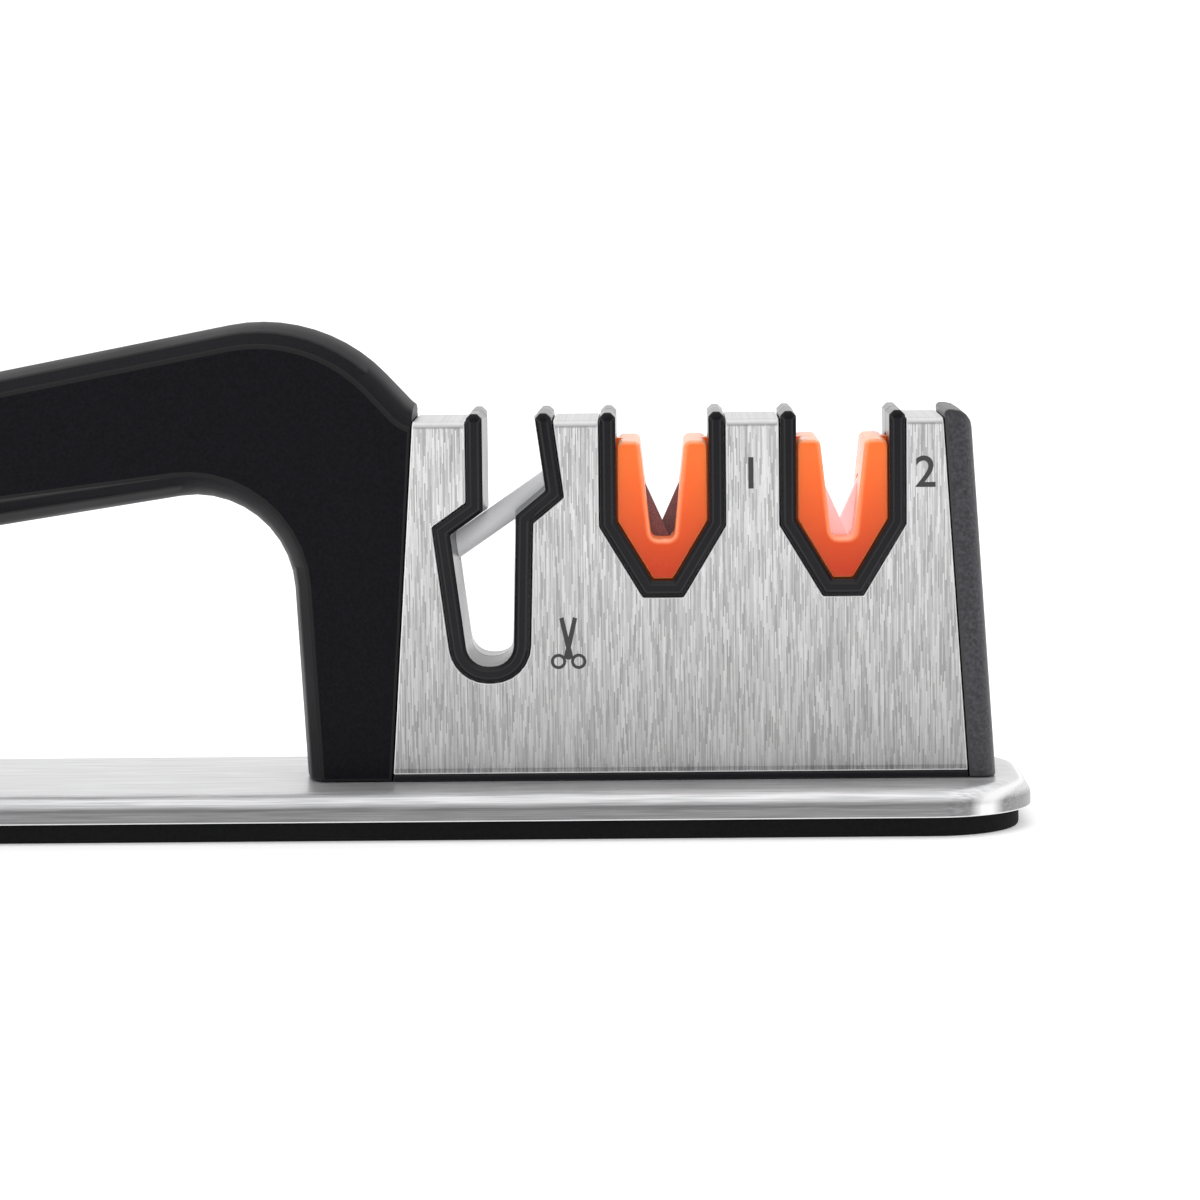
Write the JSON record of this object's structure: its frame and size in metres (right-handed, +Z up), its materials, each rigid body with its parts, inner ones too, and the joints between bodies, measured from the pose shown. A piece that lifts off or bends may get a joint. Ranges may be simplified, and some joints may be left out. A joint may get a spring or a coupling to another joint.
{
  "type": "knife sharpener",
  "caption": "Bench-top pull-through sharpener with a steel-clad slotted head for knives and scissors, a closed black D handle and a steel base on a non-slip pad.",
  "frame": {"origin": "centre of the pad's flat underside", "axes": "+X from the handle towards the slotted head, +Y away from the viewer across the base, +Z up"},
  "size_m": [0.23, 0.048, 0.0846],
  "materials": {
    "pad": "matt moulded rubber",
    "core": "moulded plastic",
    "base_steel": "brushed along its length",
    "handle_black": "fine moulded grain",
    "housing_black": "smooth moulded",
    "head_steel": "brushed upright",
    "cap_black": "fine moulded grain",
    "rod_ceramic": "fine ground ceramic",
    "guide_orange": "glossy moulded",
    "coarse_grit": "coarse abrasive",
    "fine_grit": "fine ceramic",
    "screw_steel": "plain steel"
  },
  "bodies": {
    "root": {"rubber_pad": "pad", "base_core": "core", "base_plate": "base_steel", "handle_front_shell": "handle_black", "handle_rear_shell": "handle_black", "head_front_shell": "housing_black", "head_rear_shell": "housing_black", "head_cover": "head_steel", "end_cap": "cap_black", "scissor_rod": "rod_ceramic", "coarse_guide_front": "guide_orange", "coarse_guide_rear": "guide_orange", "fine_guide_front": "guide_orange", "fine_guide_rear": "guide_orange", "coarse_plate_left": "coarse_grit", "coarse_plate_right": "coarse_grit", "fine_plate_left": "fine_grit", "fine_plate_right": "fine_grit", "base_screw_1": "screw_steel", "base_screw_2": "screw_steel", "base_screw_3": "screw_steel", "base_screw_4": "screw_steel", "base_screw_5": "screw_steel", "base_screw_6": "screw_steel", "base_screw_7": "screw_steel", "base_screw_8": "screw_steel"}
  },
  "joints": []
}
